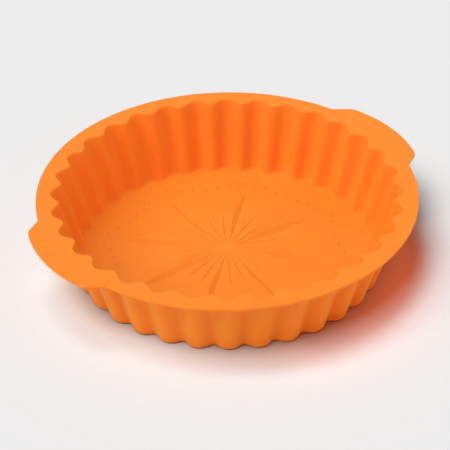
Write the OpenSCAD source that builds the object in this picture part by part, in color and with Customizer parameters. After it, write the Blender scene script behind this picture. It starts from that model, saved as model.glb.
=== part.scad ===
// Round silicone cake mould, moulded in one piece. A flat rim with two ears stands on a fluted wall that
// tapers down to the floor, and a star inside a beaded border is pressed into the floor.
// The origin is the middle of the resting face, Z is up and the ears lie along X. Sizes are in millimetres.

/* [Whole mould] */
// Diameter of the round rim, ears left out
rim_d = 248; // [240:1:272]
// Height from the resting face to the top of the rim
height = 50; // [42:0.5:60]
// Thickness of the fluted wall
wall_t = 2; // [1.4:0.1:2.2]
// Thickness of the floor beside the star
floor_t = 2.4; // [2:0.1:3]

/* [Rim and ears] */
// Thickness of the rim and the ears
rim_t = 2; // [1.6:0.1:2.6]
// How far an ear stands out past the round rim
ear_reach = 11; // [9:0.5:14]
// Radius of the long outer edge of an ear
ear_edge_r = 93; // [84:1:105]
// Width of an ear where its sides would cross the round rim
ear_w = 84; // [76:1:92]
// Angle between a side of an ear and the line through both ears
ear_side_angle = 32; // [26:1:38]
// Radius of the outer corners of an ear
ear_corner_r = 8; // [5:0.5:10]
// Radius of the inner corners between an ear and the rim
ear_root_r = 5; // [3:0.5:7]
// Width of the small round pit in the top of one ear
pit_d = 2; // [1.4:0.1:2.6]
// Depth of the pit
pit_depth = 0.5; // [0.3:0.1:0.8]

/* [Fluted wall] */
// Diameter of the mouth at the middle of its flutes
mouth_d = 224; // [218:1:226]
// Diameter of the floor at the middle of its flutes
floor_d = 196; // [190:1:202]
// Number of flutes around the wall, in eights so that they line up with the star
flute_count = 32; // [24:8:32]
// Depth of a flute at the mouth, from ridge to hollow
mouth_flute = 5.7; // [4:0.1:6]
// Depth of a flute at the floor
floor_flute = 4.7; // [3.5:0.1:5]
// How much broader the bulges are than the ridges between them, as a share of the wave
bulge_fullness = 0.06; // [0:0.01:0.08]
// How much the wave is squared off, as a share of it
wave_squareness = 0.035; // [0:0.005:0.05]
// Radius of the edge where the wall meets the top of the rim
mouth_edge_r = 0.8; // [0.4:0.1:1.2]
// Radius of the corner between wall and floor, inside
floor_corner_r = 1; // [0.6:0.1:1.6]
// Radius of the outer bottom edge
base_edge_r = 2; // [1.5:0.1:2.8]

/* [Star] */
// Rise of the floor in the middle of the star
crown_rise = 2; // [1:0.1:3]
// Radius of the plain middle of the star
middle_r = 6; // [5:0.5:9]
// Distance from the middle of the star to the tip of a leaf
ray_l = 72; // [66:1:73]
// Distance from the middle of the star to the inner point of a leaf
leaf_from = 14; // [11:1:20]
// Width of a leaf where it is widest
leaf_w = 7.4; // [5:0.1:8]
// Slope of the sides of a leaf
leaf_slope = 24; // [20:1:28]
// Distance from the middle of the star to the tip of a thin ray
thin_l = 39; // [32:1:46]
// Width of a thin ray where it is widest
thin_w = 2.4; // [1.8:0.1:2.6]
// Slope of the sides of a thin ray
thin_slope = 28; // [22:1:32]

/* [Beaded border] */
// Diameter of a bead hollow
bead_d = 2.7; // [2:0.1:3.2]
// Depth of a bead hollow
bead_depth = 0.8; // [0.5:0.1:1]
// Number of beads on each side of the border
bead_count = 7; // [5:2:7]
// Distance from the middle of the star to the middle of a side
border_in = 74; // [73:0.5:76]
// Radius of the hollow curve that each side follows
border_side_r = 74; // [70:1:80]
// Angle between neighbouring beads along that curve
bead_step = 7; // [6:0.1:7.4]

/* [Hidden] */

SILICONE = [1, 0.53, 0.2];
LEAVES = 8;                   // leaves of the star, and sides of the border
RAYS_PER_LEAF = 3;            // thin rays for each leaf, the one under the leaf among them
FLUTE_STEPS = 10;             // points along one flute
FLUTE_CROWD = 12.6;           // how far the points crowd towards the crests, in degrees
ROUND_STEPS = 3;              // steps around the outer bottom edge
CORNER_STEPS = 2;             // steps around the smaller radii
RIM_STEP = 2.5;               // angle between points on the round rim
ARC_STEP = 6;                 // angle between points on the curves of an ear
CROWN_SIDES = 96;             // sides of the cone under the star
WHEEL_SIDES = 360;            // sides of a wheel that cuts a ray
BALL_SIDES = 24;              // sides of the ball that leaves a bead
CLEAR = 1;                    // how far cutters pass through the surface they cut
WHEEL_CLEAR = 0.1;            // height of a wheel's cut above the floor
WHEEL_END = 8;                // room past the points of a wheel's cut
PIT_ANGLE = 176.7;            // place of the pit around the rim
PIT_PAST_RIM = 0.7;           // place of the pit beyond the round rim

rim_r = rim_d / 2;
ring_points = flute_count * FLUTE_STEPS;
crown_slope = atan(crown_rise / (ray_l - middle_r));

// Rim and ears, drawn from above

// Points on an arc about c, from angle a to angle b
function arc(c, r, a, b, step) =
    let (n = max(1, ceil(abs(b - a) / step)))
    [for (i = [0 : n]) let (t = a + (b - a) * i / n) [c.x + r * cos(t), c.y + r * sin(t)]];

// The side of an ear is a line whose outward normal stands at 90 - ear_side_angle to the ear's own line
normal_angle = 90 - ear_side_angle;
side_at = rim_r * cos(asin(ear_w / 2 / rim_r) - normal_angle);
edge_c = rim_r + ear_reach - ear_edge_r;
corner_turn = normal_angle - acos((side_at - ear_corner_r - edge_c * cos(normal_angle))
    / (ear_edge_r - ear_corner_r));
corner_c = [edge_c + (ear_edge_r - ear_corner_r) * cos(corner_turn),
    (ear_edge_r - ear_corner_r) * sin(corner_turn)];
root_angle = normal_angle - acos((side_at + ear_root_r) / (rim_r + ear_root_r));
root_c = [(rim_r + ear_root_r) * cos(root_angle), (rim_r + ear_root_r) * sin(root_angle)];

// Upper half of one ear, from the middle of its outer edge round to the rim
half_ear = concat(
    arc([edge_c, 0], ear_edge_r, 0, corner_turn, ARC_STEP / 2),
    arc(corner_c, ear_corner_r, corner_turn + ARC_STEP, normal_angle, ARC_STEP),
    arc(root_c, ear_root_r, 180 + normal_angle, 180 + root_angle, ARC_STEP * 2));

function turned(points, a) = [for (p = points) [p.x * cos(a) - p.y * sin(a), p.x * sin(a) + p.y * cos(a)]];
function mirrored(points) = [for (i = [len(points) - 1 : -1 : 1]) [points[i].x, -points[i].y]];

quarter_rim = arc([0, 0], rim_r, root_angle, 180 - root_angle, RIM_STEP);
inner_rim = [for (i = [1 : len(quarter_rim) - 2]) quarter_rim[i]];
half_outline = concat(mirrored(half_ear), half_ear, inner_rim);

module rim() {
    translate([0, 0, height - rim_t])
        linear_extrude(rim_t)
            polygon(concat(half_outline, turned(half_outline, 180)));
}

// Fluted surfaces

function at_height(bottom, top, z) = bottom + (top - bottom) * (z - floor_t) / (height - floor_t);

// Point i of the fluted curve at height z, moved out by off at right angles to the curve
function flute_point(i, z, off) =
    let (
        t = 360 * i / FLUTE_STEPS,
        u = t - FLUTE_CROWD * sin(2 * t),
        a = u / flute_count,
        wave = at_height(floor_flute, mouth_flute, z) / 2,
        shape = cos(u) - bulge_fullness * cos(2 * u) - wave_squareness * cos(3 * u),
        r = at_height(floor_d, mouth_d, z) / 2 + wave * shape,
        turn = sin(u) - 2 * bulge_fullness * sin(2 * u) - 3 * wave_squareness * sin(3 * u),
        slope = -wave * flute_count * turn,
        l = norm([r, slope]),
        along = off * slope / l,
        out = r + off * r / l
    )
    [out * cos(a) + along * sin(a), out * sin(a) - along * cos(a), z];

// A solid through rings, each given as [height of the curve, height of the ring, offset], from the bottom up
module fluted(rings) {
    n = ring_points;
    last = (len(rings) - 1) * n;
    middle = len(rings) * n;
    points = concat(
        [for (g = rings, i = [0 : n - 1]) let (p = flute_point(i, g[0], g[2])) [p.x, p.y, g[1]]],
        [[0, 0, rings[0][1]], [0, 0, rings[len(rings) - 1][1]]]);
    sides = [for (k = [0 : len(rings) - 2], i = [0 : n - 1])
        let (a = k * n + i, b = k * n + (i + 1) % n)
        each [[a, a + n, b], [b, a + n, b + n]]];
    ends = [for (i = [0 : n - 1])
        let (j = (i + 1) % n)
        each [[middle, i, j], [middle + 1, last + j, last + i]]];
    polyhedron(points, concat(sides, ends));
}

module outer_body() {
    edge = [for (k = [0 : ROUND_STEPS]) let (a = 90 * k / ROUND_STEPS)
        let (z = base_edge_r * (1 - cos(a)))
        [z, z, wall_t - base_edge_r * (1 - sin(a))]];
    top = height - rim_t / 2;
    fluted(concat(edge, [[top, top, wall_t]]));
}

module cavity() {
    corner = [for (k = [0 : CORNER_STEPS]) let (a = 90 * k / CORNER_STEPS)
        let (z = floor_t + floor_corner_r * (1 - cos(a)))
        [z, z, -floor_corner_r * (1 - sin(a))]];
    edge = [for (k = [0 : CORNER_STEPS]) let (a = 90 * k / CORNER_STEPS)
        let (z = height - mouth_edge_r * (1 - sin(a)))
        [z, z, mouth_edge_r * (1 - cos(a))]];
    fluted(concat(corner, edge, [[height, height + CLEAR, mouth_edge_r]]));
}

// Star and beads

// Low cone that lifts the star above the plain floor
module crown() {
    translate([0, 0, floor_t])
        cylinder(r1 = ray_l, r2 = middle_r, h = crown_rise, $fn = CROWN_SIDES);
}

// Groove with a V section that starts and ends in a point, as a wheel with a V edge cuts it along X
module wheel_cut(from, to, width, slope) {
    deep = width / 2 * tan(slope);
    half = (to - from) / 2;
    mid = (to + from) / 2;
    wheel_r = (half * half + deep * deep) / (2 * deep);
    side = width / 2 + CLEAR;
    translate([mid, 0, floor_t + (ray_l - mid) * tan(crown_slope)])
        rotate([0, crown_slope, 0])
            intersection() {
                translate([0, 0, wheel_r - deep])
                    rotate([90, 0, 0])
                        for (m = [0, 1])
                            mirror([0, 0, m])
                                cylinder(r1 = wheel_r, r2 = wheel_r - side * tan(slope), h = side,
                                    $fn = WHEEL_SIDES);
                translate([-half - WHEEL_END, -side - CLEAR, -deep - CLEAR])
                    cube([2 * (half + WHEEL_END), 2 * (side + CLEAR), deep + CLEAR + WHEEL_CLEAR]);
            }
}

// Thin rays all round, and a broad leaf over every third of them
module star() {
    rays = LEAVES * RAYS_PER_LEAF;
    for (k = [0 : rays - 1])
        rotate(k * 360 / rays)
            wheel_cut(middle_r, thin_l, thin_w, thin_slope);
    for (k = [0 : LEAVES - 1])
        rotate(k * 360 / LEAVES)
            wheel_cut(leaf_from, ray_l, leaf_w, leaf_slope);
}

// Ball that leaves a round hollow of this width and depth in the surface below it
module hollow(width, depth) {
    r = (width * width / 4 + depth * depth) / (2 * depth);
    translate([0, 0, r - depth])
        rotate([90, 0, 0])
            sphere(r = r, $fn = BALL_SIDES);
}

module beads() {
    reach = (bead_count - 1) / 2;
    c = border_in + border_side_r;
    for (k = [0 : LEAVES - 1], j = [-reach : reach])
        rotate((k + 0.5) * 360 / LEAVES)
            translate([c - border_side_r * cos(j * bead_step), border_side_r * sin(j * bead_step), floor_t])
                hollow(bead_d, bead_depth);
}

module ear_pit() {
    rotate(PIT_ANGLE)
        translate([rim_r + PIT_PAST_RIM, 0, height])
            hollow(pit_d, pit_depth);
}

module mould() {
    color(SILICONE)
        difference() {
            union() {
                difference() {
                    union() {
                        outer_body();
                        rim();
                    }
                    cavity();
                }
                crown();
            }
            star();
            beads();
            ear_pit();
        }
}

mould();
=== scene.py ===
import math

import bmesh
import bpy
import numpy as np
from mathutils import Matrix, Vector, geometry


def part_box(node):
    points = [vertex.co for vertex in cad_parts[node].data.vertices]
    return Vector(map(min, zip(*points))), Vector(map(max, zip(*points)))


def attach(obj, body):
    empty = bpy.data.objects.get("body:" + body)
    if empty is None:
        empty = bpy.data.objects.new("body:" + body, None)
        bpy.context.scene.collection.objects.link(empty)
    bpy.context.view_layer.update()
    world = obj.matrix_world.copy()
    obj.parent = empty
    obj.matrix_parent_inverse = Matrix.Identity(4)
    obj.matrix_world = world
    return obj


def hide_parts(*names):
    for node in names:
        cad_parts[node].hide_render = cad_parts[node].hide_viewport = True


# The silicone cake mould as one closed mesh in the place of its CAD solid, its material and its stage
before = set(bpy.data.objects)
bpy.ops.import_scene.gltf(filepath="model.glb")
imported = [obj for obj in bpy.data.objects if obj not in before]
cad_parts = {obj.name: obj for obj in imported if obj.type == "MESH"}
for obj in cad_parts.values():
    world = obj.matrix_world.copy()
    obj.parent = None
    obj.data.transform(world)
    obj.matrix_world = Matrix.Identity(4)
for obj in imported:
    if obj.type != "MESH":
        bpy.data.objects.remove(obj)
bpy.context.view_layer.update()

# Outer sizes in millimetres, taken from the solid in the frame
EAR_TIP, RIM_R, HEIGHT = (round(1000 * v, 3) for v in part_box("mould")[1])

# Rim and ears, in millimetres and degrees, as in the part's source
RIM_T = 2.0
EAR_REACH = EAR_TIP - RIM_R
EAR_EDGE_R = 93.0
EAR_W = 84.0
EAR_SIDE_ANGLE = 32.0
EAR_CORNER_R = 8.0
EAR_ROOT_R = 5.0
PIT_D = 2.0
PIT_DEPTH = 0.5
PIT_ANGLE = 176.7
PIT_PAST_RIM = 0.7

# Fluted wall and floor, as in the part's source
WALL_T = 2.0
FLOOR_T = 2.4
MOUTH_R = 112.0
FLOOR_R = 98.0
FLUTE_COUNT = 32
MOUTH_FLUTE = 5.7
FLOOR_FLUTE = 4.7
BULGE_FULLNESS = 0.06
WAVE_SQUARENESS = 0.035
MOUTH_EDGE_R = 0.8
FLOOR_CORNER_R = 1.0
BASE_EDGE_R = 2.0

# Star and border, as in the part's source
LEAVES = 8
RAYS_PER_LEAF = 3
CROWN_RISE = 2.0
MIDDLE_R = 6.0
RAY_L = 72.0
LEAF_FROM = 14.0
LEAF_W = 7.4
THIN_SLOPE = 28.0
BEAD_D = 2.7
BEAD_DEPTH = 0.8
BEAD_COUNT = 7
BORDER_IN = 74.0
BORDER_SIDE_R = 74.0
BEAD_STEP = 7.0

# The grooves are cut a little stronger than in the part's source, to show as clearly as in the photograph
LEAF_SLOPE = 28.0
THIN_L = 42.0
THIN_W = 3.0

# Small radii and widths that only this mesh has
EDGE_SOFT = 0.5       # outer edge of the rim and the ears
ROOT_SOFT = 1.2       # corner between the wall and the underside of the rim
SUPPORT = 0.35        # width of the flat strip beside a rounded edge, where its shading ends
HOLLOW_SOFT = 0.25    # width of the soft edge around a bead hollow and the pit
HOLLOW_DROP = 0.06    # how far that edge slopes down

# Fineness of the mesh
FLUTE_STEPS = 20      # points along one flute
FLUTE_CROWD = 0.12    # how far the points crowd towards the crests, in radians
WALL_STEPS = 8        # steps up the straight part of the wall
CORNER_STEPS = 5      # steps around the inner edges of floor and mouth
EDGE_STEPS = 4        # steps around the edge of the rim and the corner under it
BASE_STEPS = 6        # steps around the outer bottom edge
RIM_ARC = 1.25        # angle between points on the round rim
EAR_ARC = 1.2         # angle between points on the long edge of an ear
EAR_CORNER_ARC = 5.0  # the same on its outer corners
EAR_ROOT_ARC = 7.0    # the same on its inner corners
HOLLOW_STEPS = 20     # points around a bead hollow and the pit
LEAF_RINGS = 52       # rings of the star along its leaves
THIN_RINGS = 9        # rings from there to its plain middle
LEAF_END = 1.0        # how far outside the inner points of the leaves their last ring lies
THIN_START = 0.2      # how far inside those points the next ring lies
HOLLOW_RINGS = (0.93, 0.75, 0.5, 0.25)  # rings in a hollow, as shares of its radius

# Fineness of the star's mesh around its grooves
PLAIN_RADII = (4.8, 3.4, 2.0, 0.9)      # radii of the rings in the plain middle
ACROSS_GROOVE = (0.1, 0.5, 0.9, 1.0)    # points across half a groove, as shares of its half width
LEAST_HALF = 0.06     # half width for these points where a groove has no depth
LEAST_HALF_R = 10.0   # nearer to the middle than this it shrinks with the radius
GROOVE_SHARE = 0.8    # how much of its sector a groove may fill
STRIP_SHARE = 0.4     # how much of the rest the flat strip beside it may fill


class Skin:
    """Points and faces of one closed mesh, in millimetres."""

    def __init__(self):
        self.points = []
        self.faces = []

    def ring(self, xy, z):
        """Adds a closed loop of points and returns their numbers. z is one height, or one for each."""
        start = len(self.points)
        heights = np.broadcast_to(z, len(xy))
        self.points += [(float(p[0]), float(p[1]), float(h)) for p, h in zip(xy, heights)]
        return list(range(start, len(self.points)))

    def band(self, a, b):
        """Joins two rings that have the same number of points."""
        n = len(a)
        self.faces += [(a[i], a[(i + 1) % n], b[(i + 1) % n], b[i]) for i in range(n)]

    def stack(self, rings):
        """Joins each ring to the next."""
        for a, b in zip(rings, rings[1:]):
            self.band(a, b)

    def fan(self, ring, z):
        """Closes a ring with triangles that meet in its middle at height z."""
        middle = len(self.points)
        self.points.append((float(np.mean([self.points[i][0] for i in ring])),
                            float(np.mean([self.points[i][1] for i in ring])), z))
        n = len(ring)
        self.faces += [(ring[i], ring[(i + 1) % n], middle) for i in range(n)]

    def flat(self, outer, holes):
        """Fills the plane between an outer loop and the loops of its holes with triangles."""
        numbers, edges = [], []
        for loop in [outer] + holes:
            start = len(numbers)
            numbers += loop
            edges += [(start + i, start + (i + 1) % len(loop)) for i in range(len(loop))]
        xy = np.array([self.points[i][:2] for i in numbers])
        convex_hull, same_point = 0, 1e-6
        filled = geometry.delaunay_2d_cdt([Vector(p) for p in xy], edges, [], convex_hull, same_point)
        faces, sources = filled[2], filled[3]
        triangles = [[sources[i][0] for i in face] for face in faces]
        middles = np.array([xy[t].mean(axis=0) for t in triangles])
        keep = inside(middles, xy[:len(outer)])
        start = len(outer)
        for hole in holes:
            keep &= ~inside(middles, xy[start:start + len(hole)])
            start += len(hole)
        self.faces += [tuple(numbers[i] for i in t) for t, kept in zip(triangles, keep) if kept]


def inside(points, loop):
    """Tells for each point whether a line from it to the right crosses the loop an odd number of times."""
    x, y = points[:, 0:1], points[:, 1:2]
    a, b = loop, np.roll(loop, -1, axis=0)
    crosses = (a[:, 1] > y) != (b[:, 1] > y)
    with np.errstate(divide="ignore", invalid="ignore"):
        at = (b[:, 0] - a[:, 0]) * (y - a[:, 1]) / (b[:, 1] - a[:, 1]) + a[:, 0]
    return ((crosses & (x < at)).sum(axis=1) % 2).astype(bool)


def cos_of(degrees):
    return math.cos(math.radians(degrees))


def sin_of(degrees):
    return math.sin(math.radians(degrees))


def tan_of(degrees):
    return math.tan(math.radians(degrees))


def quarter(steps):
    """Angles that divide a quarter turn into steps, in radians."""
    return [math.pi / 2 * k / steps for k in range(steps + 1)]


def between(low, high):
    """Heights that divide the straight part of the wall."""
    return [low + (high - low) * k / WALL_STEPS for k in range(1, WALL_STEPS)]


def arc(c, r, a, b, step):
    """Points on an arc about c, from angle a to angle b in degrees."""
    n = max(1, math.ceil(abs(b - a) / step))
    t = np.radians(a + (b - a) * np.arange(n + 1) / n)
    return np.stack([c[0] + r * np.cos(t), c[1] + r * np.sin(t)], axis=1)


def outline():
    """Rim and ears seen from above, found as in the part's source."""
    normal = 90 - EAR_SIDE_ANGLE
    side = RIM_R * cos_of(math.degrees(math.asin(EAR_W / 2 / RIM_R)) - normal)
    edge_c = RIM_R + EAR_REACH - EAR_EDGE_R
    inner = EAR_EDGE_R - EAR_CORNER_R
    turn = normal - math.degrees(math.acos((side - EAR_CORNER_R - edge_c * cos_of(normal)) / inner))
    corner_c = (edge_c + inner * cos_of(turn), inner * sin_of(turn))
    reach = RIM_R + EAR_ROOT_R
    root = normal - math.degrees(math.acos((side + EAR_ROOT_R) / reach))
    root_c = (reach * cos_of(root), reach * sin_of(root))
    half_ear = np.concatenate([
        arc((edge_c, 0), EAR_EDGE_R, 0, turn, EAR_ARC),
        arc(corner_c, EAR_CORNER_R, turn, normal, EAR_CORNER_ARC)[1:],
        arc(root_c, EAR_ROOT_R, 180 + normal, 180 + root, EAR_ROOT_ARC)])
    mirrored = half_ear[:0:-1] * (1, -1)
    rim = arc((0, 0), RIM_R, root, 180 - root, RIM_ARC)[1:-1]
    half = np.concatenate([mirrored, half_ear, rim])
    return np.concatenate([half, -half])


def inset(loop, distance):
    """A closed loop moved in by a distance."""
    tangent = np.roll(loop, -1, axis=0) - np.roll(loop, 1, axis=0)
    tangent /= np.linalg.norm(tangent, axis=1, keepdims=True)
    return loop + distance * np.stack([-tangent[:, 1], tangent[:, 0]], axis=1)


def fluted(z, off):
    """The fluted curve at height z, moved out by off at right angles to itself."""
    share = (z - FLOOR_T) / (HEIGHT - FLOOR_T)
    wave = (FLOOR_FLUTE + (MOUTH_FLUTE - FLOOR_FLUTE) * share) / 2
    mean_r = FLOOR_R + (MOUTH_R - FLOOR_R) * share
    t = np.arange(FLUTE_COUNT * FLUTE_STEPS) * 2 * np.pi / FLUTE_STEPS
    u = t - FLUTE_CROWD * np.sin(2 * t)
    a = u / FLUTE_COUNT
    shape = np.cos(u) - BULGE_FULLNESS * np.cos(2 * u) - WAVE_SQUARENESS * np.cos(3 * u)
    turn = np.sin(u) - 2 * BULGE_FULLNESS * np.sin(2 * u) - 3 * WAVE_SQUARENESS * np.sin(3 * u)
    r = mean_r + wave * shape
    slope = -wave * FLUTE_COUNT * turn
    length = np.hypot(r, slope)
    out = r + off * r / length
    along = off * slope / length
    return np.stack([out * np.cos(a) + along * np.sin(a), out * np.sin(a) - along * np.cos(a)], axis=1)


def hollow(skin, x, y, z, width, depth):
    """A round hollow, cut by a ball, in a flat surface. Returns the loop where the surface meets it."""
    ball_r = (width ** 2 / 4 + depth ** 2) / (2 * depth)
    t = np.arange(HOLLOW_STEPS) * 2 * np.pi / HOLLOW_STEPS
    circle = np.stack([np.cos(t), np.sin(t)], axis=1)
    rings = [skin.ring(circle * (width / 2 + HOLLOW_SOFT) + (x, y), z),
             skin.ring(circle * (width / 2) + (x, y), z - HOLLOW_DROP)]
    for share in HOLLOW_RINGS:
        r = width / 2 * share
        drop = math.sqrt(ball_r ** 2 - r ** 2) - (ball_r - depth)
        rings.append(skin.ring(circle * r + (x, y), z - drop))
    skin.stack(rings)
    skin.fan(rings[-1], z - depth)
    return rings[0]


def border(skin):
    """The bead hollows. Each side of the border is an arc that bends in towards the star."""
    loops = []
    arc_c = BORDER_IN + BORDER_SIDE_R
    for side in range(LEAVES):
        turn = (side + 0.5) * 2 * math.pi / LEAVES
        for place in range(-(BEAD_COUNT // 2), BEAD_COUNT // 2 + 1):
            x = arc_c - BORDER_SIDE_R * cos_of(place * BEAD_STEP)
            y = BORDER_SIDE_R * sin_of(place * BEAD_STEP)
            loops.append(hollow(skin, x * math.cos(turn) - y * math.sin(turn),
                                x * math.sin(turn) + y * math.cos(turn), FLOOR_T, BEAD_D, BEAD_DEPTH))
    return loops


def crown(r):
    """Rise of the floor at distance r from the middle."""
    return CROWN_RISE * (1 + math.cos(math.pi * min(r, RAY_L) / RAY_L)) / 2


def groove_depth(r, start, end, width, slope):
    """Depth at distance r from the middle of a groove that a wheel with a V-shaped edge leaves."""
    deepest = width / 2 * tan_of(slope)
    middle, half = (start + end) / 2, (end - start) / 2
    return max(0.0, deepest * (1 - ((r - middle) / half) ** 2))


def columns(r, thin, leaf, half_sector):
    """Places across one sector of the star. They follow the edges and the bottom of its groove."""
    least = LEAST_HALF * min(r / LEAST_HALF_R, 1)
    wanted = max(thin / tan_of(THIN_SLOPE), leaf / tan_of(LEAF_SLOPE), least)
    half = min(wanted, GROOVE_SHARE * half_sector)
    rest = half_sector - half
    strip = min(SUPPORT, STRIP_SHARE * rest)
    right = [share * half for share in ACROSS_GROOVE] + [half + strip, half + (rest + strip) / 2]
    left = [-y for y in reversed(right)]
    return [-half_sector] + left + [0] + right


def star(skin):
    """The crown with its grooves, ring by ring. Returns its outermost loop."""
    rays = LEAVES * RAYS_PER_LEAF
    sector = 2 * math.pi / rays
    leaf_radii = np.linspace(RAY_L, LEAF_FROM + LEAF_END, LEAF_RINGS)
    thin_radii = np.linspace(LEAF_FROM - THIN_START, MIDDLE_R, THIN_RINGS)
    rings = []
    for r in np.concatenate([leaf_radii, thin_radii, PLAIN_RADII]):
        thin = groove_depth(r, MIDDLE_R, THIN_L, THIN_W, THIN_SLOPE)
        angles, heights = [], []
        for ray in range(rays):
            has_leaf = ray % RAYS_PER_LEAF == 0
            leaf = groove_depth(r, LEAF_FROM, RAY_L, LEAF_W, LEAF_SLOPE) if has_leaf else 0.0
            for y in columns(r, thin, leaf, r * math.sin(sector / 2)):
                depth = max(leaf - abs(y) * tan_of(LEAF_SLOPE), thin - abs(y) * tan_of(THIN_SLOPE), 0.0)
                angles.append(sector * ray + math.asin(max(-1, min(1, y / r))))
                heights.append(FLOOR_T + crown(r) - depth)
        xy = np.stack([r * np.cos(angles), r * np.sin(angles)], axis=1)
        rings.append(skin.ring(xy, np.array(heights)))
    skin.stack(rings)
    skin.fan(rings[-1], FLOOR_T + CROWN_RISE)
    return rings[0]


def inner_wall(skin):
    """The inside, from the floor up to the top of the rim. Returns its lowest and its highest loop."""
    rings = [skin.ring(fluted(FLOOR_T, -FLOOR_CORNER_R - SUPPORT), FLOOR_T)]
    for a in quarter(CORNER_STEPS):
        z = FLOOR_T + FLOOR_CORNER_R * (1 - math.cos(a))
        rings.append(skin.ring(fluted(z, -FLOOR_CORNER_R * (1 - math.sin(a))), z))
    for z in between(FLOOR_T + FLOOR_CORNER_R, HEIGHT - MOUTH_EDGE_R):
        rings.append(skin.ring(fluted(z, 0), z))
    for a in quarter(CORNER_STEPS):
        z = HEIGHT - MOUTH_EDGE_R * (1 - math.sin(a))
        rings.append(skin.ring(fluted(z, MOUTH_EDGE_R * (1 - math.cos(a))), z))
    rings.append(skin.ring(fluted(HEIGHT, MOUTH_EDGE_R + SUPPORT), HEIGHT))
    skin.stack(rings)
    return rings[0], rings[-1]


def rim_edge(skin):
    """The outer edge of rim and ears, from top to underside. Returns its first and its last loop."""
    loop = outline()
    under = HEIGHT - RIM_T
    rings = [skin.ring(inset(loop, EDGE_SOFT + SUPPORT), HEIGHT)]
    for a in quarter(EDGE_STEPS):
        z = HEIGHT - EDGE_SOFT * (1 - math.cos(a))
        rings.append(skin.ring(inset(loop, EDGE_SOFT * (1 - math.sin(a))), z))
    for a in reversed(quarter(EDGE_STEPS)):
        z = under + EDGE_SOFT * (1 - math.cos(a))
        rings.append(skin.ring(inset(loop, EDGE_SOFT * (1 - math.sin(a))), z))
    rings.append(skin.ring(inset(loop, EDGE_SOFT + SUPPORT), under))
    skin.stack(rings)
    return rings[0], rings[-1]


def outer_wall(skin):
    """The outside, from the rim's underside to the base. Returns its highest and its lowest loop."""
    under = HEIGHT - RIM_T
    rings = [skin.ring(fluted(under, WALL_T + ROOT_SOFT + SUPPORT), under)]
    for a in quarter(EDGE_STEPS):
        z = under - ROOT_SOFT * (1 - math.cos(a))
        rings.append(skin.ring(fluted(z, WALL_T + ROOT_SOFT * (1 - math.sin(a))), z))
    for z in reversed(between(BASE_EDGE_R, under - ROOT_SOFT)):
        rings.append(skin.ring(fluted(z, WALL_T), z))
    for a in reversed(quarter(BASE_STEPS)):
        z = BASE_EDGE_R * (1 - math.cos(a))
        rings.append(skin.ring(fluted(z, WALL_T - BASE_EDGE_R * (1 - math.sin(a))), z))
    rings.append(skin.ring(fluted(0, WALL_T - BASE_EDGE_R - SUPPORT), 0))
    skin.stack(rings)
    return rings[0], rings[-1]


def build_mould():
    """The whole mould as one closed mesh, in the form of the CAD solid."""
    skin = Skin()
    hollows = [star(skin)] + border(skin)
    floor_edge, mouth_edge = inner_wall(skin)
    skin.flat(floor_edge, hollows)
    pit_r = RIM_R + PIT_PAST_RIM
    pit = hollow(skin, pit_r * cos_of(PIT_ANGLE), pit_r * sin_of(PIT_ANGLE), HEIGHT, PIT_D, PIT_DEPTH)
    rim_top, rim_under = rim_edge(skin)
    skin.flat(rim_top, [mouth_edge, pit])
    wall_root, base = outer_wall(skin)
    skin.flat(rim_under, [wall_root])
    skin.fan(base, 0.0)

    mesh = bpy.data.meshes.new("mould_skin")
    mesh.from_pydata([tuple(v / 1000 for v in p) for p in skin.points], [], skin.faces)
    bm = bmesh.new()
    bm.from_mesh(mesh)
    bmesh.ops.recalc_face_normals(bm, faces=bm.faces)
    bm.to_mesh(mesh)
    bm.free()
    mesh.shade_smooth()
    obj = bpy.data.objects.new("mould_skin", mesh)
    bpy.context.scene.collection.objects.link(obj)
    return obj


def silicone():
    """Matte orange silicone. Light sinks a little way into it, red light the furthest."""
    mat = bpy.data.materials.new("orange_silicone")
    mat.use_nodes = True
    nodes, links = mat.node_tree.nodes, mat.node_tree.links
    shader = nodes["Principled BSDF"]
    place = nodes.new("ShaderNodeTexCoord")

    def noise(scale, detail, roughness=0.5):
        n = nodes.new("ShaderNodeTexNoise")
        n.inputs["Scale"].default_value = scale
        n.inputs["Detail"].default_value = detail
        n.inputs["Roughness"].default_value = roughness
        links.new(place.outputs["Object"], n.inputs["Vector"])
        return n

    def ramp(source, low, high):
        """Colours for the low and the high part of a noise."""
        r = nodes.new("ShaderNodeValToRGB")
        for stop, position, color in zip(r.color_ramp.elements, (0.3, 0.7), (low, high)):
            stop.position = position
            stop.color = (*color, 1)
        links.new(source.outputs["Fac"], r.inputs["Fac"])
        return r

    def bump(source, strength, distance):
        b = nodes.new("ShaderNodeBump")
        b.inputs["Strength"].default_value = strength
        b.inputs["Distance"].default_value = distance
        links.new(source.outputs["Fac"], b.inputs["Height"])
        return b

    # Pigment that is a little deeper in soft patches
    tone = ramp(noise(scale=28, detail=3), low=(0.850, 0.236, 0.0210), high=(0.880, 0.248, 0.0238))
    links.new(tone.outputs["Color"], shader.inputs["Base Color"])

    # Satin bloom that is a little uneven
    bloom = ramp(noise(scale=55, detail=4, roughness=0.6), low=(0.48, 0.48, 0.48), high=(0.56, 0.56, 0.56))
    links.new(bloom.outputs["Color"], shader.inputs["Roughness"])

    # Very fine grain on a slight swell
    grain = bump(noise(scale=2600, detail=3, roughness=0.6), strength=0.12, distance=0.0002)
    swell = bump(noise(scale=60, detail=2), strength=0.25, distance=0.0006)
    links.new(grain.outputs["Normal"], swell.inputs["Normal"])
    links.new(swell.outputs["Normal"], shader.inputs["Normal"])

    shader.inputs["IOR"].default_value = 1.42
    shader.inputs["Specular IOR Level"].default_value = 0.12
    shader.inputs["Subsurface Weight"].default_value = 1.0
    shader.inputs["Subsurface Radius"].default_value = (1.0, 0.22, 0.06)
    shader.inputs["Subsurface Scale"].default_value = 0.0012
    return mat


mould = build_mould()
mould.data.materials.append(silicone())
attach(mould, "root")
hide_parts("mould")

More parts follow.
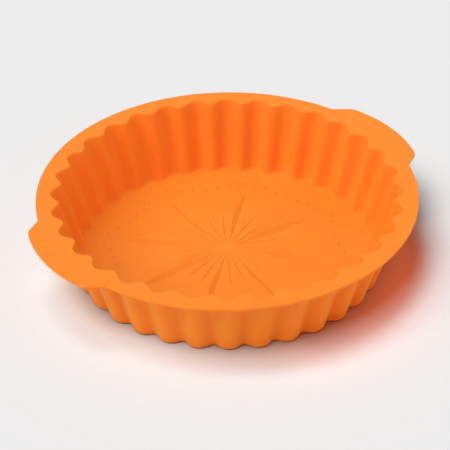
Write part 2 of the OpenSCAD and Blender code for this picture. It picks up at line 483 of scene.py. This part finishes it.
# The stage, in metres. Azimuths are counted from the photograph's right, in degrees
PHOTO_TURN = -33.75   # place of the photograph's right, from the X axis
FLOOR_HALF = 6.0
FLOOR_DROP = 0.0003   # keeps the floor clear of the base
LAMP_DISTANCE = 3.0
WHITE = (1.0, 1.0, 1.0)
ORANGE_GLOW = (1.0, 0.12, 0.03)
PEACH_GLOW = (1.0, 0.50, 0.30)
CREAM_GLOW = (1.0, 0.85, 0.70)
GLOW_SIZE = (0.020, 0.045)


def studio_floor():
    mesh = bpy.data.meshes.new("studio_floor")
    sides = [(-1, -1), (1, -1), (1, 1), (-1, 1)]
    corners = [(FLOOR_HALF * x, FLOOR_HALF * y, -FLOOR_DROP) for x, y in sides]
    mesh.from_pydata(corners, [], [(0, 1, 2, 3)])
    obj = bpy.data.objects.new("studio_floor", mesh)
    bpy.context.scene.collection.objects.link(obj)
    mat = bpy.data.materials.new("pale_floor")
    mat.use_nodes = True
    shader = mat.node_tree.nodes["Principled BSDF"]
    shader.inputs["Base Color"].default_value = (0.5, 0.5, 0.5, 1)
    shader.inputs["Roughness"].default_value = 0.9
    shader.inputs["Specular IOR Level"].default_value = 0.1
    mesh.materials.append(mat)
    return obj


ground = studio_floor()


def receivers(name, obj):
    """A collection for lamps that light only this object."""
    group = bpy.data.collections.new(name)
    group.objects.link(obj)
    return group


ON_MOULD = receivers("lit_mould", mould)
ON_FLOOR = receivers("lit_floor", ground)


def around(azimuth, elevation, distance):
    """A place seen from the middle of the mould."""
    a, e = math.radians(azimuth + PHOTO_TURN), math.radians(elevation)
    across = distance * math.cos(e)
    return Vector((across * math.cos(a), across * math.sin(a), distance * math.sin(e)))


def add_lamp(name, data, place, rotation, group):
    obj = bpy.data.objects.new(name, data)
    obj.location = place
    obj.rotation_euler = rotation
    bpy.context.scene.collection.objects.link(obj)
    obj.light_linking.receiver_collection = group
    obj.visible_camera = False


def softbox(name, azimuth, elevation, strength, group, spread=30, color=WHITE):
    """A soft light from far away, as wide as the spread in degrees."""
    data = bpy.data.lights.new(name, "SUN")
    data.energy = strength
    data.color = color
    data.angle = math.radians(spread)
    place = around(azimuth, elevation, LAMP_DISTANCE)
    add_lamp(name, data, place, (-place).to_track_quat("-Z", "Y").to_euler(), group)


def glow(azimuth, radius, height, power, color):
    """Light that the orange wall passes on to the floor beside it. The lamp shines straight down."""
    data = bpy.data.lights.new("glow", "AREA")
    data.shape = "RECTANGLE"
    data.size, data.size_y = GLOW_SIZE
    data.energy = power
    data.color = color
    turn = math.radians(azimuth + PHOTO_TURN)
    place = (radius * math.cos(turn), radius * math.sin(turn), height)
    add_lamp("glow_%03d" % azimuth, data, place, (0, 0, turn), ON_FLOOR)


# Lamps on the mould, each with its azimuth, elevation and strength. The first lights it from all around
softbox("dome", 0, 90, 0.72, ON_MOULD, spread=178)
softbox("left_key", 200, 45, 1.06, ON_MOULD, color=(0.94, 1.0, 1.0))
softbox("overhead", 165, 75, 0.48, ON_MOULD)
softbox("front_left_low", 225, 30, 0.57, ON_MOULD)
softbox("right", 0, 30, 0.52, ON_MOULD, color=(1.0, 0.90, 0.86))
softbox("front_left_high", 235, 60, 0.36, ON_MOULD)
softbox("front_low", 300, 14, 0.49, ON_MOULD, color=(1.0, 0.62, 0.58))
softbox("front", 270, 62, 0.43, ON_MOULD, color=(0.94, 1.0, 0.98))
softbox("back", 90, 35, 0.27, ON_MOULD)

# Lamps on the floor, which throw the mould's soft shadow to the right
softbox("floor_left", 201, 54, 1.28, ON_FLOOR)
softbox("floor_overhead", 180, 82, 1.00, ON_FLOOR, spread=20)
softbox("floor_left_high", 196, 72, 1.38, ON_FLOOR, spread=26)
softbox("floor_front", 238, 60, 1.95, ON_FLOOR, spread=24)

# Glow on the floor at the right, at the front and at the left
for azimuth, power in ((300, 0.0028), (320, 0.0042), (340, 0.0048), (0, 0.0040)):
    glow(azimuth, radius=0.119, height=0.020, power=power, color=ORANGE_GLOW)
for azimuth, power in ((263, 0.0011), (284, 0.0012)):
    glow(azimuth, radius=0.108, height=0.010, power=power, color=PEACH_GLOW)
for azimuth, power in ((200, 0.0020), (221, 0.0020), (242, 0.0010)):
    glow(azimuth, radius=0.108, height=0.010, power=power, color=CREAM_GLOW)


def studio_world():
    """A faint fill. Beyond the edge of the floor the camera sees the same pale tone as the floor."""
    world = bpy.data.worlds.new("studio")
    world.use_nodes = True
    nodes, links = world.node_tree.nodes, world.node_tree.links
    fill = nodes["Background"]
    fill.inputs["Color"].default_value = (1, 1, 1, 1)
    fill.inputs["Strength"].default_value = 0.09
    backdrop = nodes.new("ShaderNodeBackground")
    backdrop.inputs["Color"].default_value = (1, 1, 1, 1)
    backdrop.inputs["Strength"].default_value = 0.85
    choice = nodes.new("ShaderNodeMixShader")
    links.new(nodes.new("ShaderNodeLightPath").outputs["Is Camera Ray"], choice.inputs[0])
    links.new(fill.outputs["Background"], choice.inputs[1])
    links.new(backdrop.outputs["Background"], choice.inputs[2])
    links.new(choice.outputs["Shader"], nodes["World Output"].inputs["Surface"])
    return world


def photo_camera():
    """The camera that was fitted to the photograph's outlines."""
    data = bpy.data.cameras.new("camera")
    data.lens = 145.03
    data.sensor_width = 36
    data.clip_start, data.clip_end = 0.05, 50
    obj = bpy.data.objects.new("camera", data)
    obj.location = (-0.53944, -0.80733, 0.71341)
    obj.rotation_euler = (math.radians(54.5941), math.radians(0.5568), math.radians(-34.0473))
    bpy.context.scene.collection.objects.link(obj)
    return obj


bpy.context.scene.world = studio_world()
bpy.context.scene.camera = photo_camera()
bpy.context.scene.view_settings.view_transform = "Standard"

bpy.context.view_layer.update()
